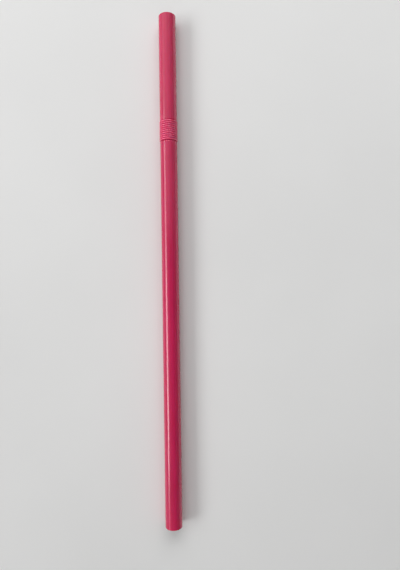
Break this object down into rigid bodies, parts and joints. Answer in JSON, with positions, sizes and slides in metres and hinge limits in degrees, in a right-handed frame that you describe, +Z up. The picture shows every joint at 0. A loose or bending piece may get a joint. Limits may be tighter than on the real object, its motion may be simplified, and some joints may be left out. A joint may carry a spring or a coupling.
{
  "type": "flexible drinking straw",
  "caption": "Thin-walled plastic drinking straw with a short bellows, pushed shut, between a short mouth tube and a long lower tube, so that the mouth tube can be bent over.",
  "frame": {"origin": "middle of the straw's length, under its axis, at the height of the lowest points of the bellows ridges", "axes": "+Y along the straw towards the mouth end, +Z up from the surface that it lies on"},
  "size_m": [0.0074, 0.21, 0.0074],
  "materials": {
    "pink_plastic": "smooth extruded polypropylene, dyed through in hot pink, semi-gloss"
  },
  "bodies": {
    "root": {"straw": "pink_plastic"}
  },
  "joints": []
}
